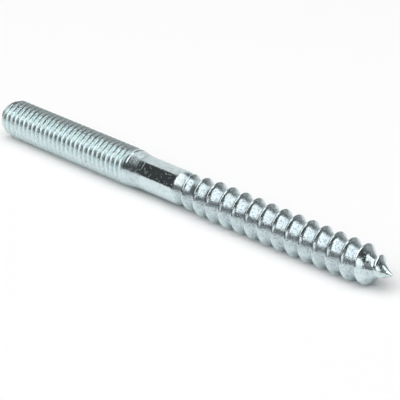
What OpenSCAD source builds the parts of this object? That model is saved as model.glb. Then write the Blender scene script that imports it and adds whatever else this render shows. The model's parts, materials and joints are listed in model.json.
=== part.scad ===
// Hanger bolt: a headless steel fastener in one piece. A machine thread takes a nut at one end, a plain
// shank is left in the middle, and a coarse wood thread with a gimlet point is driven into timber.
// The bolt lies on its side along X with its point towards +X. The origin is on the surface that it lies
// on, under the middle of its length.

/* [Machine end] */
// Major diameter of the machine thread, M6
machine_d = 6; // [4:0.5:12]
// Length of the machine end, from its flat end face to the plain shank
machine_len = 31; // [15:0.5:60]
// Diameter of the flat end face, inside the lead-in chamfer
end_face_d = 4.8; // [2.6:0.1:10]
// Length of the lead-in chamfer, along the axis
end_chamfer_len = 1.3; // [0.3:0.1:2]
// Length of the cone from the machine thread's crests down to the shank
thread_runout_len = 3; // [0.3:0.1:5]

/* [Shank] */
// Diameter of the plain shank, the blank that both threads are rolled on
shank_d = 5.3; // [3.5:0.1:10.8]
// Length of the plain shank
shank_len = 7; // [3:0.5:40]

/* [Wood thread] */
// Diameter over the crests of the wood thread
wood_d = 6; // [4.5:0.1:12]
// Diameter of the core between the crests
wood_core_d = 4.2; // [2.6:0.1:8]
// Axial distance from one crest to the next
wood_pitch = 2.6; // [1.8:0.1:5]
// Length of the wood end, from the plain shank to the tip of the point
wood_len = 41.2; // [20:0.1:90]
// Length of the cone from the shank down to the core
shoulder_len = 2.2; // [0.3:0.1:3]
// Width of the flat on a crest
crest_w = 0.16; // [0.08:0.02:0.4]
// Width of bare core between the feet of two turns
root_w = 0.3; // [0.2:0.1:1.2]
// Turns that the crest takes to rise from inside the shank to its full height
rise_turns = 2.25; // [0.5:0.25:3]
// Turn of the thread about the axis where the plain shank ends
start_angle = 202.5; // [0:7.5:352.5]

/* [Gimlet point] */
// Length of the conical point
point_len = 4.8; // [3:0.1:10]
// Diameter of the blunt tip
tip_d = 0.5; // [0.1:0.05:0.8]
// Length of bare cone between the end of the thread and the tip
bare_tip_len = 1.1; // [0.4:0.1:3]
// Turns that the thread takes to fade out on the point
fade_turns = 0.5; // [0.25:0.05:1]

/* [Hidden] */
$fn = 96;

zinc = [0.76, 0.81, 0.82];

machine_r = machine_d / 2;
shank_r = shank_d / 2;
core_r = wood_core_d / 2;
tip_r = tip_d / 2;

// Stations along the axis, from the flat end face
shank_start = machine_len;
runout_start = machine_len - thread_runout_len;
wood_start = machine_len + shank_len;
point_start = wood_start + wood_len - point_len;
total_len = wood_start + wood_len;

// The wood end is swept in steps round the axis. Its corners lie a little outside the true circle, so that
// the middle of each facet has the stated diameter and the bolt lies on facets and not on corners.
facets = 24;
a_step = 360 / facets;
z_step = wood_pitch / facets;
corner_out = 1 / cos(a_step / 2);

// A section of the ridge has a foot, a flare and a crest corner on each flank. The flank is steep at the
// crest and flares out below a share of its height and width, as on a rolled thread.
corners = 6;
last = corners - 1;
flare_rise = 0.4;
flare_spread = 0.37;
full_h = wood_d / 2 - core_r;
crest_half_w = crest_w / 2;
flank_w = (wood_pitch - root_w - crest_w) / 2;

// Where the plain shank ends, the ridge is still this deep under its surface. It ends as this low a stub.
buried_depth = 0.26;
stub_h = 0.08;

// Stations of the thread along the axis. The ridge starts this share of a turn inside the shank.
lead_turns = 0.5;
thread_start = wood_start - lead_turns * wood_pitch;
thread_end = total_len - bare_tip_len;
steps = floor((thread_end - thread_start) / z_step);
rise_len = rise_turns * wood_pitch;
fade_len = fade_turns * wood_pitch;

// The body's shoulder cone runs on below the core's surface
shoulder_sink = 0.3;

// The bolt rests on both of its ends, so it tilts where they differ in diameter. Stations of the two rests.
machine_rest = machine_d > wood_d ? runout_start : end_chamfer_len;
wood_rest = machine_d > wood_d ? point_start : wood_start + rise_len;
rest_tilt = atan((machine_d - wood_d) / 2 / (wood_rest - machine_rest));

// Faces that share their first corner and turn through a row of others
function fan(first, row) = [for (k = [1:len(row) - 1]) [first, row[k - 1], row[k]]];
function reversed(face) = [for (k = [len(face) - 1:-1:0]) face[k]];

// Radius of the wood end between the crests: the core, then the point
function root_r(z) =
    z < point_start ? core_r : core_r + (tip_r - core_r) * (z - point_start) / point_len;

// Radius of the crest: it rises out of the shoulder, keeps its height along the core, and fades on the point
function crest_r(z) =
    let (
        hidden_r = shank_r - buried_depth,
        risen = max(0, min(1, (z - wood_start) / rise_len)),
        left = max(0, min(1, (thread_end - z) / fade_len))
    )
    min(hidden_r + risen * (wood_d / 2 - hidden_r), root_r(z) + stub_h + left * (full_h - stub_h));

// One section of the ridge, as places along the axis and radii, from its back foot to its front one
function section(z) =
    let (
        h = crest_r(z) - root_r(z),
        w = flank_w * h / full_h,
        flare_half_w = crest_half_w + flare_spread * w,
        foot_half_w = crest_half_w + w,
        flare_r = root_r(z) + flare_rise * h
    )
    [
        [z - foot_half_w, root_r(z - foot_half_w)],
        [z - flare_half_w, flare_r],
        [z - crest_half_w, crest_r(z)],
        [z + crest_half_w, crest_r(z)],
        [z + flare_half_w, flare_r],
        [z + foot_half_w, root_r(z + foot_half_w)]
    ];

// The point at a place along the axis and a radius, on the half plane of a step
function on_step(i, place) =
    let (a = start_angle - 360 * lead_turns + i * a_step, r = place[1] * corner_out)
    [r * cos(a), r * sin(a), place[0]];

// Corners in the list of points: those of the sections, then a ring inside the shank, then one at the tip
function at(i, j) = i * corners + j;
function inner(i) = (steps + 1) * corners + i % facets;
function tip(i) = inner(i) + facets;

// The flat end of the ridge at a step, as a lower and an upper half
function end_faces(i) = [
    [at(i, 0), at(i, 1), at(i, last - 1), at(i, last)],
    [at(i, 1), at(i, 2), at(i, last - 2), at(i, last - 1)]
];

// The wood end: core, point and ridge as one skin swept along a right-hand helix. Each turn's front foot
// joins the back foot of the next turn, which is a full round of steps further on. Where the ridge starts
// and stops, the skin also meets the edge of its flat end.
module wood_end() {
    inner_place = [thread_start - wood_pitch / 2, core_r];
    tip_place = [total_len, tip_r];
    stop = steps - facets;
    points = [
        for (i = [0:steps], place = section(thread_start + i * z_step)) on_step(i, place),
        for (i = [0:facets - 1]) on_step(i, inner_place),
        for (i = [0:facets - 1]) on_step(i, tip_place)
    ];
    skin = [
        for (i = [0:steps - 1], j = [0:last - 1]) [at(i, j), at(i, j + 1), at(i + 1, j + 1), at(i + 1, j)],
        for (i = [0:stop - 1]) [at(i, last), at(i + facets, 0), at(i + facets + 1, 0), at(i + 1, last)],
        for (i = [0:facets - 2]) [inner(i), at(i, 0), at(i + 1, 0), inner(i + 1)],
        for (i = [stop + 1:steps - 1]) [at(i, last), tip(i), tip(i + 1), at(i + 1, last)]
    ];
    triangles = [for (quad = skin) each fan(quad[0], [quad[1], quad[2], quad[3]])];
    start_row = [at(facets, 0), at(0, last), at(0, 0), inner(0), inner(facets - 1)];
    stop_row = [at(stop, last), at(steps, 0), at(steps, last), tip(steps), tip(stop + 1)];
    ends = [
        each fan(at(facets - 1, 0), start_row),
        each fan(at(stop + 1, last), stop_row),
        for (face = end_faces(0)) reversed(face),
        each end_faces(steps),
        [for (i = [0:facets - 1]) inner(i)],
        reversed([for (i = [0:facets - 1]) tip(i)])
    ];
    polyhedron(points = points, faces = concat(triangles, ends), convexity = 10);
}

// The machine end and the shank, turned about the axis. The shoulder cone ends inside the wood end.
module turned_body() {
    shoulder_slope = shoulder_len / (shank_r - core_r);
    shoulder_end = wood_start + shoulder_len + shoulder_sink * shoulder_slope;
    rotate_extrude()
        polygon([
            [0, 0],
            [end_face_d / 2, 0],
            [machine_r, end_chamfer_len],
            [machine_r, runout_start],
            [shank_r, shank_start],
            [shank_r, wood_start],
            [core_r - shoulder_sink, shoulder_end],
            [0, shoulder_end]
        ]);
}

// Lays what stands along Z down along X, at rest on the surface under it
module lying() {
    translate([machine_rest - total_len / 2, 0, 0])
        rotate([0, rest_tilt, 0])
            translate([-machine_rest, 0, machine_r])
                rotate([0, 90, 0])
                    children();
}

module hanger_bolt() {
    color(zinc)
        lying() {
            turned_body();
            wood_end();
        }
}

hanger_bolt();
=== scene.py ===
"""Looks of a zinc-plated hanger bolt around its CAD frame: threads, plating and a plain studio.

Every length is in metres, in the frame of the CAD part: the bolt lies along X with its point
towards +X. A station is a place along X.
"""

from __future__ import annotations

import json
import logging
import math
from dataclasses import dataclass, field, fields
from enum import Enum
from typing import Any, Callable, Mapping, Union

import bpy
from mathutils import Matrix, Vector


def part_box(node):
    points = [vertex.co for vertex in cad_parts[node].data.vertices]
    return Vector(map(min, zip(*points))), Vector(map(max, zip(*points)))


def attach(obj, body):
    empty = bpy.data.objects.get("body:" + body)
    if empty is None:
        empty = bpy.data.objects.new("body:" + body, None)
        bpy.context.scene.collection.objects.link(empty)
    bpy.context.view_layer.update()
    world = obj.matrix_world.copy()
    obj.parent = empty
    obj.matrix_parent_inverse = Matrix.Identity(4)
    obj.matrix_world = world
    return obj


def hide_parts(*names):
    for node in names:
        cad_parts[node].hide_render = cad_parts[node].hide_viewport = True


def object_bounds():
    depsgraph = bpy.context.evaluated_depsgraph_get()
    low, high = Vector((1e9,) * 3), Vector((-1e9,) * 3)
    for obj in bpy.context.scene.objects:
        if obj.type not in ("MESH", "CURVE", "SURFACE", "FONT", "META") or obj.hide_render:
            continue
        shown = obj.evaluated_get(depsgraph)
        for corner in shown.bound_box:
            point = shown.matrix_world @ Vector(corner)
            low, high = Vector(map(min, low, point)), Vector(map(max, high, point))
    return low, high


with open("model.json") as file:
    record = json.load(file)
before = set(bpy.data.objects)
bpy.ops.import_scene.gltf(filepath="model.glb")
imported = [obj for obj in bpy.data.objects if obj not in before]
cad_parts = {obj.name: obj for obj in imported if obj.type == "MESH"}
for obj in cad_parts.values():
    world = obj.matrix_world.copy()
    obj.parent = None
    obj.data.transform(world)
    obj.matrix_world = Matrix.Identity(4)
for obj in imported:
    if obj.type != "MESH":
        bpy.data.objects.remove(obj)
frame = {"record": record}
cad_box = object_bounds()

LOG = logging.getLogger("hanger_bolt")
MM = 0.001
PHOTO_SIDE = 400

Number = Union[int, float]
Span = tuple[float, float]
Place = tuple[float, float, float]
Colour = tuple[float, float, float, float]


class Wire:
    """A node's output socket, on which Python's operators add Math nodes."""

    def __init__(self, graph: Graph, socket: bpy.types.NodeSocket) -> None:
        """Keeps the socket and the graph that it belongs to."""
        self.graph = graph
        self.socket = socket

    def __add__(self, other: Value) -> Wire:
        """Sum of two values."""
        return self.graph.math("ADD", self, other)

    def __radd__(self, other: Value) -> Wire:
        """Sum of two values, with a number first."""
        return self.graph.math("ADD", other, self)

    def __sub__(self, other: Value) -> Wire:
        """Difference of two values."""
        return self.graph.math("SUBTRACT", self, other)

    def __rsub__(self, other: Value) -> Wire:
        """Difference of two values, with a number first."""
        return self.graph.math("SUBTRACT", other, self)

    def __mul__(self, other: Value) -> Wire:
        """Product of two values."""
        return self.graph.math("MULTIPLY", self, other)

    def __rmul__(self, other: Value) -> Wire:
        """Product of two values, with a number first."""
        return self.graph.math("MULTIPLY", other, self)

    def __truediv__(self, other: Value) -> Wire:
        """Quotient of two values."""
        return self.graph.math("DIVIDE", self, other)

    def __rtruediv__(self, other: Value) -> Wire:
        """Quotient of two values, with a number first."""
        return self.graph.math("DIVIDE", other, self)

    def __pow__(self, other: Value) -> Wire:
        """A value to a power."""
        return self.graph.math("POWER", self, other)

    def __rpow__(self, other: Value) -> Wire:
        """A number to the power of a value."""
        return self.graph.math("POWER", other, self)

    def __abs__(self) -> Wire:
        """A value without its sign."""
        return self.graph.math("ABSOLUTE", self)


Value = Union[Wire, Number]


class Graph:
    """A node tree that is built from expressions and from one method for all other nodes."""

    def __init__(self, tree: bpy.types.NodeTree) -> None:
        """Takes an empty or cleared node tree."""
        self.tree = tree

    @classmethod
    def of(cls, owner: bpy.types.Material | bpy.types.World) -> Graph:
        """The graph of a material or a world.

        Args:
            owner: The material or world, whose first nodes are cleared.

        Returns:
            The empty graph.
        """
        owner.use_nodes = True
        owner.node_tree.nodes.clear()
        return cls(owner.node_tree)

    def node(
        self,
        kind: str,
        settings: Mapping[str, Any] | None = None,
        inputs: Mapping[str | int, Any] | None = None,
    ) -> bpy.types.Node:
        """Adds one node.

        Args:
            kind: The node's type, such as ShaderNodeTexNoise.
            settings: Properties of the node, which are set before its sockets.
            inputs: Values or wires for its input sockets, by name or by place.

        Returns:
            The new node.
        """
        made = self.tree.nodes.new(kind)
        for name, value in (settings or {}).items():
            setattr(made, name, value)
        for key, value in (inputs or {}).items():
            self.feed(made.inputs[key], value)
        return made

    def feed(self, socket: bpy.types.NodeSocket, value: Any) -> None:
        """Links a wire to an input socket, or sets the socket to a plain value.

        Args:
            socket: The input socket.
            value: The wire or the value.
        """
        if isinstance(value, Wire):
            self.tree.links.new(value.socket, socket)
        else:
            socket.default_value = value

    def out(self, node: bpy.types.Node, key: str | int = 0) -> Wire:
        """One output of a node as a wire."""
        return Wire(self, node.outputs[key])

    def math(self, operation: str, *values: Value) -> Wire:
        """A Math node on up to three values."""
        node = self.node("ShaderNodeMath", {"operation": operation}, dict(enumerate(values)))
        return self.out(node)

    def least(self, a: Value, b: Value, *rounding: Value) -> Wire:
        """The smaller of two values, with a rounded corner between them if a rounding is given."""
        return self.math("SMOOTH_MIN" if rounding else "MINIMUM", a, b, *rounding)

    def most(self, a: Value, b: Value, *rounding: Value) -> Wire:
        """The larger of two values, with a rounded corner between them if a rounding is given."""
        return self.math("SMOOTH_MAX" if rounding else "MAXIMUM", a, b, *rounding)

    def share(self, value: Value, start: Value, end: Value, smooth: bool = False) -> Wire:
        """How far a value has come from start to end, from 0 to 1.

        Args:
            value: The value to place.
            start: Where the share is 0.
            end: Where the share is 1.
            smooth: Whether the share eases in and out.

        Returns:
            The share as a wire.
        """
        kind = "SMOOTHSTEP" if smooth else "LINEAR"
        inputs = {"Value": value, "From Min": start, "From Max": end}
        return self.out(self.node("ShaderNodeMapRange", {"interpolation_type": kind}, inputs))

    @staticmethod
    def part_way(start: Value, end: Value, share: Wire) -> Wire:
        """The value that lies a share of the way from start to end."""
        return start + share * (end - start)

    def blend(self, factor: Value, a: Any, b: Any) -> Wire:
        """A colour between two others."""
        node = self.node("ShaderNodeMix", {"data_type": "RGBA"}, {0: factor, 6: a, 7: b})
        return self.out(node, 2)


class Finish(Enum):
    """Names of the two materials."""

    ZINC = "zinc_plating"
    FLOOR = "pale_floor"


@dataclass(frozen=True)
class ZincPlating:
    """Bright zinc over rolled steel: cool and mottled, with grain, pits, flecks in the roots, and
    painted shade in the thread roots.

    A value such as dull_by_grain is how much one thing adds to another. The edges are where a
    pattern starts to show and where it shows in full.
    """

    bright: Colour = (0.68, 0.79, 0.80, 1.0)
    # The dull colour is both the plating's own dull tone and the painted shade in the thread roots.
    dull: Colour = (0.50, 0.59, 0.62, 1.0)
    pit: Colour = (0.25, 0.29, 0.31, 1.0)
    mottle_size: float = 0.9 * MM
    mottle_detail: float = 4.0
    grain_size: float = 0.25 * MM
    grain_detail: float = 3.0
    fleck_size: float = 0.26 * MM
    fleck_detail: float = 1.0
    fleck_edge: Span = (0.54, 0.62)
    fleck_tint: float = 0.9
    pit_spacing: float = 0.3 * MM
    pit_edge: Span = (0.24, 0.06)
    pitted_cells: Span = (0.4, 0.45)
    pit_tint: float = 0.3
    dull_edge: Span = (0.6, 1.2)
    dull_by_grain: float = 0.5
    dull_by_root: float = 0.55
    bright_by_satin: float = 0.25
    roughness: float = 0.1
    rough_by_dull: float = 0.06
    rough_by_matt: float = 0.13
    rough_by_satin: float = 0.03
    rough_by_pit: float = 0.25
    bump_strength: float = 1.0
    bump_depth: float = 0.05 * MM
    bump_least: float = 0.2
    bump_by_matt: float = 0.6
    bump_by_mottle: float = 0.9
    bump_by_pit: float = 1.2

    def material(self, satin_end: float, satin_fade: float) -> bpy.types.Material:
        """Builds the plating's nodes.

        Args:
            satin_end: Station at which the satin of the machine thread has gone.
            satin_fade: Length over which it goes.

        Returns:
            The material.
        """
        made = bpy.data.materials.new(Finish.ZINC.value)
        g = Graph.of(made)
        place = g.out(g.node("ShaderNodeTexCoord"), "Object")
        station = g.out(g.node("ShaderNodeSeparateXYZ", None, {0: place}), "X")
        satin = g.share(station, satin_end, satin_end - satin_fade)
        matt = g.out(g.node("ShaderNodeAttribute", {"attribute_name": BoltSkin.MATT}), "Fac")
        # Painted shade: the square of the matt value darkens the colour in the thread roots, where
        # shade falls between the turns.
        root = matt * matt
        mottle = self._noise(g, place, self.mottle_size, self.mottle_detail)
        grain = self._noise(g, place, self.grain_size, self.grain_detail)
        fleck_noise = self._noise(g, place, self.fleck_size, self.fleck_detail)
        flecks = g.share(fleck_noise, *self.fleck_edge, smooth=True) * self.fleck_tint * root
        pits = self._pits(g, place)
        # The root term is painted shade; the mottle and the grain are the plating's own tone.
        tarnish_and_root_shade = mottle + self.dull_by_grain * grain + self.dull_by_root * root
        dulled_and_shaded = g.share(tarnish_and_root_shade - self.bright_by_satin * satin, *self.dull_edge, smooth=True)
        metal = g.blend(dulled_and_shaded, self.bright, self.dull)
        colour = g.blend(g.most(self.pit_tint * pits, flecks), metal, self.pit)
        worn = self.rough_by_dull * dulled_and_shaded + self.rough_by_matt * matt + self.rough_by_pit * pits
        rough = self.roughness + self.rough_by_satin * satin + worn
        coarse = self.bump_least + self.bump_by_matt * matt
        relief = coarse * (grain + self.bump_by_mottle * mottle)
        bump = g.node(
            "ShaderNodeBump",
            None,
            {
                "Strength": self.bump_strength,
                "Distance": self.bump_depth,
                "Height": relief - self.bump_by_pit * pits,
            },
        )
        shader = g.node(
            "ShaderNodeBsdfPrincipled",
            None,
            {"Base Color": colour, "Metallic": 1.0, "Roughness": rough, "Normal": g.out(bump)},
        )
        g.node("ShaderNodeOutputMaterial", None, {"Surface": g.out(shader)})
        return made

    @staticmethod
    def _noise(g: Graph, place: Wire, size: float, detail: float) -> Wire:
        """Noise with grains of about one size."""
        inputs = {"Vector": place, "Scale": 1.0 / size, "Detail": detail}
        return g.out(g.node("ShaderNodeTexNoise", None, inputs), "Fac")

    def _pits(self, g: Graph, place: Wire) -> Wire:
        """Small round pits in some cells of a Voronoi pattern, picked by a cell's random colour.

        Args:
            g: The material's graph.
            place: Where the metal is.

        Returns:
            1 in a pit and 0 outside, as a wire.
        """
        inputs = {"Vector": place, "Scale": 1.0 / self.pit_spacing}
        cells = g.node("ShaderNodeTexVoronoi", None, inputs)
        near = g.share(g.out(cells, "Distance"), *self.pit_edge, smooth=True)
        random = g.node("ShaderNodeSeparateColor", None, {"Color": g.out(cells, "Color")})
        return near * g.share(g.out(random, "Red"), *self.pitted_cells)


@dataclass(frozen=True)
class SkinSizes:
    """Sizes of the bolt's skin, which its tree takes as named inputs.

    A phase is any station at which a thread's crest crosses the angle 0. Front is the side of a
    crest towards the point, and back the other side.
    """

    end_face: float
    tip: float
    axis_height: float
    machine_radius: float
    shank_start: float
    wood_start: float
    wood_radius: float
    machine_pitch: float = 1.0 * MM
    machine_depth: float = 0.613 * MM
    machine_crest: float = 0.04 * MM
    machine_phase: float = -0.371 * MM
    runout: float = 3.0 * MM
    groove_stop: float = 1.5 * MM
    groove_fade: float = 1.5 * MM
    end_face_radius: float = 2.4 * MM
    end_chamfer: float = 1.3 * MM
    shank_radius: float = 2.65 * MM
    wood_pitch: float = 2.6 * MM
    core_radius: float = 2.1 * MM
    wood_crest: float = 0.16 * MM
    wood_front: float = 1.79 * MM
    wood_back: float = 0.65 * MM
    wood_phase: float = 0.1875 * MM
    shoulder: float = 2.2 * MM
    shoulder_delay: float = 1.0 * MM
    rise: float = 7.0 * MM
    buried: float = 0.26 * MM
    point: float = 4.8 * MM
    tip_radius: float = 0.25 * MM
    bare_tip: float = 1.1 * MM
    fade: float = 1.3 * MM


@dataclass(frozen=True)
class Roundings:
    """How far the skin's corners are rounded off."""

    machine_crest: float = 0.04 * MM
    machine_root: float = 0.06 * MM
    runout: float = 0.06 * MM
    chamfer: float = 0.1 * MM
    rise: float = 0.1 * MM
    shoulder: float = 0.3 * MM
    foot: float = 0.1 * MM


@dataclass(frozen=True)
class RidgeShape:
    """Flank of the wood thread, in shares of its height and width: a steep fall, then a shelf.

    Each loss is what the value before it loses on the way to the point.
    """

    shelf: float = 0.744
    shelf_loss: float = 0.14
    curve: float = 1.3
    curve_loss: float = 0.3
    fall: float = 2.2
    fall_loss: float = 0.6
    rounding: float = 0.06

    def height(self, g: Graph, down: Wire, pointed: Wire) -> Wire:
        """Height on the flank, from 1 at the crest to 0 at the foot.

        Args:
            g: The tree.
            down: How far the corner is down the flank.
            pointed: How far the turn has come onto the point.

        Returns:
            The height as a share of the ridge's.
        """
        curve = self.curve - self.curve_loss * pointed
        shelf = (self.shelf - self.shelf_loss * pointed) * (1.0 - down) ** curve
        steep = 1.0 - (self.fall - self.fall_loss * pointed) * down
        return g.most(shelf, steep, self.rounding)


@dataclass(frozen=True)
class Sheet:
    """One helical sheet of the skin: a grid wound round the axis, with a pitch of rows a turn."""

    pitch: float
    first: float
    turns: int
    columns: int
    rows: int
    crowding: float
    behind: float

    @classmethod
    def between(
        cls,
        low: float,
        high: float,
        pitch: float,
        phase: float,
        columns: int,
        rows: int,
        crowding: float,
        behind: float,
    ) -> Sheet:
        """A sheet whose turns cover a stretch of the axis from end to end.

        Args:
            low: Lowest station that the sheet has to reach with a whole turn to spare.
            high: Highest such station.
            pitch: Length of a turn along the axis.
            phase: Any station at which the crest crosses the angle 0.
            columns: Steps in a turn.
            rows: Steps in a pitch.
            crowding: Power by which the rows crowd towards the crest.
            behind: Length of the strip on the side of the crest away from the point.

        Returns:
            The sheet.
        """
        back = math.ceil((phase + pitch / 2 - low) / pitch)
        first = phase - pitch / 2 - back * pitch
        turns = math.ceil((high - first) / pitch) + 1
        return cls(pitch, first, turns, columns, rows, crowding, behind)


@dataclass(frozen=True)
class Corner:
    """A corner of a sheet, as it lies to the crest on its turn.

    Attributes:
        crest: Station of the crest.
        station: Station of the corner, which runs on past both ends of the bolt.
        offset: Distance of the corner from the crest, along the axis.
        ahead: 1 on the side of the crest towards the point, 0 on the other side.
    """

    crest: Wire
    station: Wire
    offset: Wire
    ahead: Wire


@dataclass(frozen=True)
class Section:
    """Where a corner goes, along the axis and out from it, and how matt the metal is there, which
    also sets the painted shade in the thread roots.
    """

    along: Wire
    radius: Wire
    matt: Wire


@dataclass(frozen=True)
class BoltSkin:
    """The bolt's whole surface as one closed mesh, of two helical sheets that meet on the shank.

    Each sheet runs on past its end of the bolt by the length of a cap, over which its radius closes
    and makes the end face. A cap is shut from a small share before its pole. The machine thread's
    lift is how many times its depth the groove is raised where it stops.
    """

    NAME = "hanger_bolt_skin"
    MATT = "matt"

    sizes: SkinSizes
    rounding: Roundings = field(default_factory=Roundings)
    ridge: RidgeShape = field(default_factory=RidgeShape)
    columns: int = 96
    machine_rows: int = 10
    machine_crowding: float = 1.2
    machine_flank: float = math.radians(30.0)
    machine_lift: float = 1.13
    machine_matt: float = 0.45
    machine_root_matt: float = 0.1
    wood_rows: int = 26
    wood_crowding: float = 1.5
    crest_shine: float = 0.6
    point_shine: float = 0.6
    join_inset: float = 1.0 * MM
    cap: float = 0.6 * MM
    pole: float = 0.05
    weld: float = 0.0003 * MM
    sharp: float = math.radians(25.0)

    @property
    def join(self) -> float:
        """Station on the shank at which the two sheets meet."""
        return self.sizes.shank_start + self.join_inset

    def build(self, material: bpy.types.Material) -> bpy.types.Object:
        """Runs the skin's tree once and keeps its result as a plain mesh.

        Args:
            material: The finish of the whole skin.

        Returns:
            The finished object, at the origin.
        """
        tree, identifiers = self._tree(material)
        carrier = bpy.data.objects.new("skin_carrier", bpy.data.meshes.new("skin_carrier"))
        bpy.context.scene.collection.objects.link(carrier)
        modifier = carrier.modifiers.new("skin", "NODES")
        modifier.node_group = tree
        for size in fields(self.sizes):
            modifier[identifiers[size.name]] = getattr(self.sizes, size.name)
        seen = carrier.evaluated_get(bpy.context.evaluated_depsgraph_get())
        mesh = bpy.data.meshes.new_from_object(seen)
        bpy.data.objects.remove(carrier)
        mesh.name = self.NAME
        made = bpy.data.objects.new(self.NAME, mesh)
        bpy.context.scene.collection.objects.link(made)
        return made

    def _tree(self, material: bpy.types.Material) -> tuple[bpy.types.NodeTree, dict[str, str]]:
        """Builds the node tree.

        Args:
            material: The finish that the tree sets.

        Returns:
            The tree, and the identifier of each named input.
        """
        tree = bpy.data.node_groups.new("bolt_skin", "GeometryNodeTree")
        tree.interface.new_socket("Geometry", in_out="OUTPUT", socket_type="NodeSocketGeometry")
        identifiers = {}
        for size in fields(self.sizes):
            socket = tree.interface.new_socket(
                size.name, in_out="INPUT", socket_type="NodeSocketFloat"
            )
            identifiers[size.name] = socket.identifier
        g = Graph(tree)
        given = g.node("NodeGroupInput")
        size = {name: g.out(given, name) for name in identifiers}
        machine = self._wind(g, size, self._machine_sheet(), self._machine_end)
        wood = self._wind(g, size, self._wood_sheet(), self._wood_end)
        joined = g.node("GeometryNodeJoinGeometry")
        for part in (wood, machine):
            g.feed(joined.inputs[0], part)
        welded = g.node(
            "GeometryNodeMergeByDistance",
            None,
            {"Geometry": g.out(joined), "Distance": self.weld},
        )
        smooth = g.node("GeometryNodeSetShadeSmooth", None, {0: g.out(welded)})
        bend = g.out(g.node("GeometryNodeInputMeshEdgeAngle"), "Unsigned Angle")
        sharp = g.node(
            "GeometryNodeSetShadeSmooth",
            {"domain": "EDGE"},
            {
                "Geometry": g.out(smooth),
                "Selection": g.math("GREATER_THAN", bend, self.sharp),
                "Shade Smooth": False,
            },
        )
        real = g.node("GeometryNodeRealizeInstances", None, {0: g.out(sharp)})
        dressed = g.node(
            "GeometryNodeSetMaterial",
            None,
            {"Geometry": g.out(real), "Material": material},
        )
        g.node("NodeGroupOutput", None, {0: g.out(dressed)})
        return tree, identifiers

    def _machine_sheet(self) -> Sheet:
        """Lays out the sheet from the end face to the join.

        Returns:
            The machine end's sheet.
        """
        return Sheet.between(
            low=self.sizes.end_face - self.cap,
            high=self.join,
            pitch=self.sizes.machine_pitch,
            phase=self.sizes.machine_phase,
            columns=self.columns,
            rows=self.machine_rows,
            crowding=self.machine_crowding,
            behind=self.sizes.machine_pitch / 2,
        )

    def _wood_sheet(self) -> Sheet:
        """Lays out the sheet from the join to the tip.

        Returns:
            The wood end's sheet.
        """
        return Sheet.between(
            low=self.join,
            high=self.sizes.tip + self.cap,
            pitch=self.sizes.wood_pitch,
            phase=self.sizes.wood_phase,
            columns=self.columns,
            rows=self.wood_rows,
            crowding=self.wood_crowding,
            behind=self.sizes.wood_back + self.sizes.wood_crest / 2,
        )

    def _wind(
        self,
        g: Graph,
        size: Mapping[str, Wire],
        sheet: Sheet,
        section: Callable[[Graph, Mapping[str, Wire], Corner], Section],
    ) -> Wire:
        """Winds a flat grid round the axis.

        Args:
            g: The tree.
            size: The named sizes.
            sheet: How the grid is wound.
            section: Says where a corner goes.

        Returns:
            The wound sheet's geometry.
        """
        # The grid runs from -1/2 to 1/2 along the turns, and from -1 to 1 across a pitch, with the
        # crest at 0.
        flat = g.node(
            "GeometryNodeMeshGrid",
            None,
            {
                "Size X": 1.0,
                "Size Y": 2.0,
                "Vertices X": sheet.turns * sheet.columns + 1,
                "Vertices Y": sheet.rows + 1,
            },
        )
        position = g.out(g.node("GeometryNodeInputPosition"))
        corner = g.node("ShaderNodeSeparateXYZ", None, {0: position})
        turn = (g.out(corner, "X") + 0.5) * sheet.turns
        row = g.out(corner, "Y")
        crowded = g.math("SIGN", row) * abs(row) ** sheet.crowding
        crest = sheet.first + sheet.pitch * (turn + 0.5)
        ahead = g.math("GREATER_THAN", row, 0.0)
        offset = g.part_way(sheet.behind, sheet.pitch - sheet.behind, ahead) * crowded
        placed = section(g, size, Corner(crest, crest + offset, abs(offset), ahead))
        angle = turn * math.tau
        place = g.node(
            "ShaderNodeCombineXYZ",
            None,
            {
                "X": placed.along,
                "Y": placed.radius * g.math("COSINE", angle),
                "Z": size["axis_height"] + placed.radius * g.math("SINE", angle),
            },
        )
        marked = g.node(
            "GeometryNodeStoreNamedAttribute",
            {"data_type": "FLOAT", "domain": "POINT"},
            {"Geometry": g.out(flat, "Mesh"), "Name": self.MATT, "Value": placed.matt},
        )
        wound = g.node(
            "GeometryNodeSetPosition",
            None,
            {"Geometry": g.out(marked), "Position": g.out(place)},
        )
        return g.out(wound)

    def _machine_end(self, g: Graph, size: Mapping[str, Wire], at: Corner) -> Section:
        """Section of the machine end: end face, chamfer, fine thread and its run-out on the shank.

        Args:
            g: The tree.
            size: The named sizes.
            at: The corner.

        Returns:
            Where the corner goes.
        """
        along = g.most(g.least(at.station, self.join), size["end_face"])
        slope = 1.0 / math.tan(self.machine_flank)
        flank = (at.offset - size["machine_crest"] / 2) * slope
        fall = g.most(flank, 0.0, self.rounding.machine_crest)
        groove = g.least(fall, size["machine_depth"], self.rounding.machine_root)
        risen = g.share(along, size["shank_start"], size["shank_start"] - size["runout"])
        over = g.part_way(size["shank_radius"], size["machine_radius"], risen)
        stop = size["shank_start"] - size["groove_stop"]
        faded = g.share(at.station, stop - size["groove_fade"], stop)
        lift = faded * size["machine_depth"] * self.machine_lift
        cut = g.least(over, size["machine_radius"] - groove + lift, self.rounding.runout)
        widening = (size["machine_radius"] - size["end_face_radius"]) / size["end_chamfer"]
        chamfer = size["end_face_radius"] + (along - size["end_face"]) * widening
        capped = self._cap(g, at.station, size["end_face"] - self.cap, size["end_face"])
        radius = g.least(cut, chamfer, self.rounding.chamfer) * capped
        # More matt in the groove, which also paints shade into the roots of the machine thread.
        matt = self.machine_matt + self.machine_root_matt * groove / size["machine_depth"]
        return Section(along, radius, matt)

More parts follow.
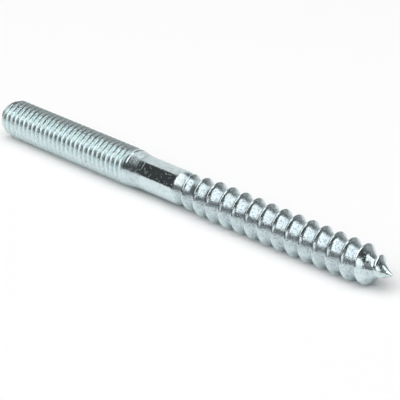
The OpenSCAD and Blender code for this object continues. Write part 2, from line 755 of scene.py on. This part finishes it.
    def _wood_end(self, g: Graph, size: Mapping[str, Wire], at: Corner) -> Section:
        """Section of the wood end: shank, shoulder, coarse thread and gimlet point.

        Args:
            g: The tree.
            size: The named sizes.
            at: The corner.

        Returns:
            Where the corner goes.
        """
        along = g.most(g.least(at.station, size["tip"]), self.join)
        full = size["wood_radius"] - size["core_radius"]
        hidden = size["shank_radius"] - size["buried"]
        risen = g.share(at.crest, size["wood_start"], size["wood_start"] + size["rise"])
        bare = size["tip"] - size["bare_tip"]
        left = g.share(at.crest, bare, bare - size["fade"])
        root = self._root(g, size, at.crest)
        rising = g.part_way(hidden, size["wood_radius"], risen)
        top = g.least(rising, root + left * full, self.rounding.rise)
        height = g.most(top - root, 0.0)
        point_start = size["tip"] - size["point"]
        pointed = g.share(at.crest, point_start - size["wood_pitch"], point_start, smooth=True)
        edge = size["wood_crest"] / 2
        flank = g.part_way(size["wood_back"], size["wood_front"], at.ahead) * height / full
        ridge = self.ridge.height(g, g.share(at.offset, edge, edge + flank), pointed)
        thread = self._root(g, size, along) + height * ridge
        cone_length = size["shoulder"] - size["shoulder_delay"]
        slope = (size["shank_radius"] - size["core_radius"]) / cone_length
        cone = size["shank_radius"] - (along - size["wood_start"] - size["shoulder_delay"]) * slope
        body = g.least(cone, size["shank_radius"], self.rounding.shoulder)
        capped = self._cap(g, at.station, size["tip"] + self.cap, size["tip"])
        radius = g.most(thread, body, self.rounding.foot) * capped
        rolled = g.share(along, size["wood_start"], size["wood_start"] + size["shoulder"])
        # Less matt on the crests and on the point, which also keeps the painted root shade off
        # them.
        matt = rolled * (1.0 - self.crest_shine * ridge) * (1.0 - self.point_shine * pointed)
        return Section(along, radius, matt)

    def _cap(self, g: Graph, station: Wire, pole: Wire, rim: Wire) -> Wire:
        """Share of the radius on an end face: 1 at its rim, and 0 from a little before its pole."""
        left = g.share(station, pole, rim)
        return left * g.math("GREATER_THAN", left, self.pole)

    @staticmethod
    def _root(g: Graph, size: Mapping[str, Wire], station: Wire) -> Wire:
        """Radius between the crests of the wood thread: the core, then the cone of the point."""
        down = g.share(station, size["tip"] - size["point"], size["tip"])
        return g.part_way(size["core_radius"], size["tip_radius"], down)


@dataclass
class Bolt:
    """The hanger bolt: its skin, on the CAD body that carries it."""

    node: str = "hanger_bolt"
    body: str = "root"
    slot: str = "zinc_steel"
    shank_length: float = 7.0 * MM
    clearance: float = 0.001 * MM
    plating: ZincPlating = field(default_factory=ZincPlating)

    def build(self) -> bpy.types.Object:
        """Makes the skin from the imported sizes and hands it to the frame.

        Returns:
            The finished piece.
        """
        _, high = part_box(self.node)
        mounts = {mount["name"]: mount for mount in frame["record"]["mounts"]}
        machine = mounts["machine_thread"]
        wood = mounts["wood_thread"]
        wood_start = high.x - wood["dims"]["length_mm"] * MM
        sizes = SkinSizes(
            end_face=cad_box[0][0] + self.clearance,
            tip=cad_box[1][0],
            axis_height=machine["pos_m"][2],
            machine_radius=machine["dims"]["r_mm"] * MM,
            shank_start=wood_start - self.shank_length,
            wood_start=wood_start,
            wood_radius=wood["dims"]["r_mm"] * MM,
        )
        satin_end = sizes.shank_start - sizes.groove_stop
        piece = BoltSkin(sizes).build(self.plating.material(satin_end, sizes.groove_fade))
        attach(piece, self.body)
        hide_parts(self.node)
        return piece


@dataclass(frozen=True)
class Surround:
    """The world: white to the camera, soft fill to the floor, light and dark fields to the metal.

    The metal mirrors a bright room that is dimmer at the front and at the back, and loses its dusk
    near the floor. Above is a dark gap, and on the left are a dark card at the front and a pale
    screen at the back. The edge of a field is where it starts and where it is full.
    """

    white: Colour = (1.0, 1.0, 1.0, 1.0)
    room: float = 1.5
    dusk: float = 0.45
    dusk_edge: Span = (0.3, 0.1)
    front: float = 0.18
    front_edge: Span = (-0.45, -0.65)
    back: float = 0.4
    back_edge: Span = (-0.3, 0.0)
    gap: float = 0.04
    gap_back: float = 0.15
    gap_edge: Span = (0.45, 0.53)
    left_edge: Span = (-0.3, -0.4)
    card: float = 0.05
    screen: float = 0.85
    screen_edge: Span = (-0.03, 0.03)
    screen_lean: float = 0.1
    fill: float = 1.1
    fill_back: float = 0.08
    fill_front_edge: Span = (0.3, -0.3)
    fill_height_edge: Span = (0.1, 0.45)

    def build(self, scene: bpy.types.Scene) -> None:
        """Makes the world and gives it to the scene.

        Args:
            scene: The scene.
        """
        scene.world = bpy.data.worlds.new("surround")
        g = Graph.of(scene.world)
        ray = g.out(g.node("ShaderNodeTexCoord"), "Generated")
        split = g.node("ShaderNodeSeparateXYZ", None, {0: ray})
        x, y, z = (g.out(split, axis) for axis in "XYZ")
        path = g.node("ShaderNodeLightPath")
        camera = g.out(path, "Is Camera Ray")
        glossy = g.out(path, "Is Glossy Ray")
        unseen = g.part_way(self._filled(g, y, z), self._mirrored(g, x, y, z), glossy)
        strength = camera + (1.0 - camera) * unseen
        shader = g.node("ShaderNodeBackground", None, {"Color": self.white, "Strength": strength})
        g.node("ShaderNodeOutputWorld", None, {"Surface": g.out(shader)})

    def _filled(self, g: Graph, y: Wire, z: Wire) -> Wire:
        """Strength of the fill, which comes from the front and above.

        Args:
            g: The world's graph.
            y: Direction of the ray towards the back.
            z: Direction of the ray upwards.

        Returns:
            The strength as a wire.
        """
        ahead = g.share(y, *self.fill_front_edge, smooth=True)
        raised = g.share(z, *self.fill_height_edge, smooth=True)
        return g.part_way(self.fill_back, self.fill, ahead * raised)

    def _mirrored(self, g: Graph, x: Wire, y: Wire, z: Wire) -> Wire:
        """Strength of what the metal mirrors.

        Args:
            g: The world's graph.
            x: Direction of the ray towards the point of the bolt.
            y: Direction of the ray towards the back.
            z: Direction of the ray upwards.

        Returns:
            The strength as a wire.
        """
        ahead = g.share(y, *self.front_edge, smooth=True)
        beyond = g.share(y - x, *self.back_edge, smooth=True)
        above = g.share(z, *self.gap_edge, smooth=True)
        room = self.room - self.dusk * g.share(z, *self.dusk_edge, smooth=True)
        side = room + ahead * (self.front - room) + beyond * (self.back - room)
        gap = g.part_way(self.gap, self.gap_back, beyond)
        right = g.part_way(side, gap, above * (1.0 - ahead))
        behind = g.share(y - self.screen_lean * z, *self.screen_edge)
        left = g.part_way(self.card, self.screen, behind)
        return g.part_way(right, left, g.share(x, *self.left_edge))


@dataclass
class Studio:
    """Pale floor, one soft lamp overhead, the surround and the camera."""

    floor_side: float = 4.0
    floor_colour: Colour = (0.885, 0.885, 0.885, 1.0)
    surround: Surround = field(default_factory=Surround)
    lamp_power: float = 8.6
    lamp_place: Place = (0.05, -0.32, 0.9)
    lamp_size: Span = (1.0, 1.76)
    azimuth: float = 44.75
    elevation: float = 25.2
    distance: float = 315.9 * MM
    target: Place = (2.67 * MM, 0.0, 2.17 * MM)
    focal_px: float = 2136.0
    sensor_mm: float = 36.0
    near: float = 10.0 * MM

    def build(self) -> None:
        """Sets up the whole studio."""
        scene = bpy.context.scene
        scene.view_settings.view_transform = "Standard"
        self._floor(scene)
        self.surround.build(scene)
        self._lamp(scene)
        self._camera(scene)

    def _floor(self, scene: bpy.types.Scene) -> None:
        """Lays a wide pale floor under the bolt.

        Args:
            scene: The scene.
        """
        half = self.floor_side / 2
        corners = [(-half, -half, 0.0), (half, -half, 0.0), (half, half, 0.0), (-half, half, 0.0)]
        mesh = bpy.data.meshes.new("floor")
        mesh.from_pydata(corners, [], [tuple(range(len(corners)))])
        material = bpy.data.materials.new(Finish.FLOOR.value)
        g = Graph.of(material)
        shader = g.node("ShaderNodeBsdfDiffuse", None, {"Color": self.floor_colour})
        g.node("ShaderNodeOutputMaterial", None, {"Surface": g.out(shader)})
        mesh.materials.append(material)
        floor = bpy.data.objects.new("floor", mesh)
        scene.collection.objects.link(floor)

    def _lamp(self, scene: bpy.types.Scene) -> None:
        """Hangs one wide soft lamp overhead.

        Args:
            scene: The scene.
        """
        light = bpy.data.lights.new("overhead_lamp", "AREA")
        light.shape = "RECTANGLE"
        light.size, light.size_y = self.lamp_size
        light.energy = self.lamp_power
        lamp = bpy.data.objects.new("overhead_lamp", light)
        lamp.location = self.lamp_place
        lamp.visible_camera = False
        scene.collection.objects.link(lamp)

    def _camera(self, scene: bpy.types.Scene) -> None:
        """Sets up the camera at the photo's angle and distance.

        Args:
            scene: The scene.
        """
        lens = bpy.data.cameras.new("camera")
        lens.sensor_width = self.sensor_mm
        lens.lens = self.focal_px / PHOTO_SIDE * self.sensor_mm
        lens.clip_start = self.near
        camera = bpy.data.objects.new("camera", lens)
        turn, rise = math.radians(self.azimuth), math.radians(self.elevation)
        level = math.cos(rise)
        back = Vector((math.sin(turn) * level, -math.cos(turn) * level, math.sin(rise)))
        camera.location = Vector(self.target) + back * self.distance
        camera.rotation_mode = "QUATERNION"
        camera.rotation_quaternion = (-back).to_track_quat("-Z", "Y")
        scene.collection.objects.link(camera)
        scene.camera = camera


def main() -> None:
    """Builds the bolt and the studio, and reports each piece."""
    logging.basicConfig(level=logging.INFO, format="%(name)s: %(message)s")
    piece = Bolt().build()
    LOG.info("%s has %d faces", piece.name, len(piece.data.polygons))
    Studio().build()
    LOG.info("studio is set up")


if __name__ == "__main__":
    main()
